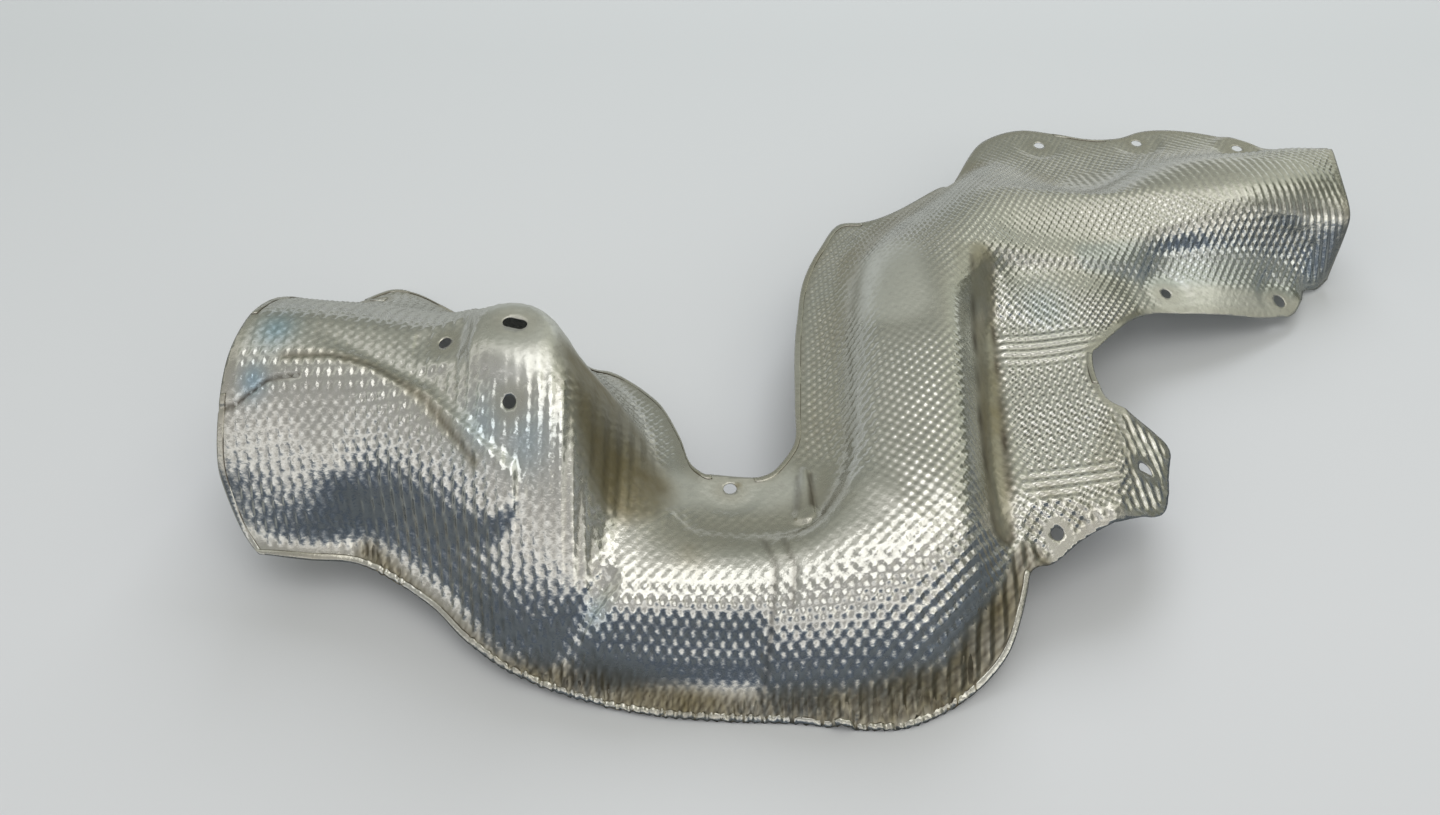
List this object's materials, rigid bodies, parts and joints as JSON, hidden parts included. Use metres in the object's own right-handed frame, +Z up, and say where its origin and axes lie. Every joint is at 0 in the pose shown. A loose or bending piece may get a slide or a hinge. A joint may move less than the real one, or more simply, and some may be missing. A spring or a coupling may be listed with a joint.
{
  "type": "exhaust heat shield",
  "caption": "Embossed aluminium exhaust heat shield, one pressed sheet that follows a double-bent pipe, with hemmed edges and fixing holes.",
  "frame": {"origin": "middle of the part's box in plan, on the table it rests on", "axes": "+X from the open mouth to the tail end, +Y from the front rim to the rear flange, +Z up, away from the pipe"},
  "size_m": [0.6578, 0.4198, 0.1143],
  "materials": {
    "sheet": "dull embossed aluminium with brown heat stains"
  },
  "bodies": {
    "root": {"shield": "sheet"}
  },
  "joints": []
}
